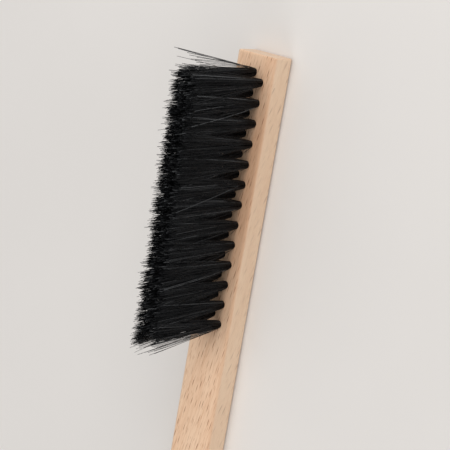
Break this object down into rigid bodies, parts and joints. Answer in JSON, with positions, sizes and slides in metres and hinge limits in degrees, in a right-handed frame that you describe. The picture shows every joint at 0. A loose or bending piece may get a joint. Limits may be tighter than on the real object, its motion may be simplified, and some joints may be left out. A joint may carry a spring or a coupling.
{
  "type": "bee brush",
  "caption": "Long straight beech bar with staggered rows of soft black bristle tufts set in drilled holes at one end, for sweeping bees off combs.",
  "frame": {"origin": "on the bar's flat back, at the middle of its length and width", "axes": "+X along the bar towards the head end, +Y across the bar, +Z from the back through the bristle face towards the tips"},
  "size_m": [0.42, 0.034, 0.082],
  "materials": {
    "beech": "planed and sanded, unvarnished",
    "bristle": "satin black fibres",
    "anchor_steel": "cut flat wire"
  },
  "bodies": {
    "root": {"wooden_handle": "beech", "tuft_front_01": "bristle", "tuft_front_02": "bristle", "tuft_front_03": "bristle", "tuft_front_04": "bristle", "tuft_front_05": "bristle", "tuft_front_06": "bristle", "tuft_front_07": "bristle", "tuft_front_08": "bristle", "tuft_front_09": "bristle", "tuft_front_10": "bristle", "tuft_front_11": "bristle", "tuft_front_12": "bristle", "tuft_front_13": "bristle", "tuft_middle_01": "bristle", "tuft_middle_02": "bristle", "tuft_middle_03": "bristle", "tuft_middle_04": "bristle", "tuft_middle_05": "bristle", "tuft_middle_06": "bristle", "tuft_middle_07": "bristle", "tuft_middle_08": "bristle", "tuft_middle_09": "bristle", "tuft_middle_10": "bristle", "tuft_middle_11": "bristle", "tuft_middle_12": "bristle", "tuft_middle_13": "bristle", "tuft_back_01": "bristle", "tuft_back_02": "bristle", "tuft_back_03": "bristle", "tuft_back_04": "bristle", "tuft_back_05": "bristle", "tuft_back_06": "bristle", "tuft_back_07": "bristle", "tuft_back_08": "bristle", "tuft_back_09": "bristle", "tuft_back_10": "bristle", "tuft_back_11": "bristle", "tuft_back_12": "bristle", "tuft_back_13": "bristle", "anchors_front": "anchor_steel", "anchors_middle": "anchor_steel", "anchors_back": "anchor_steel"}
  },
  "joints": []
}
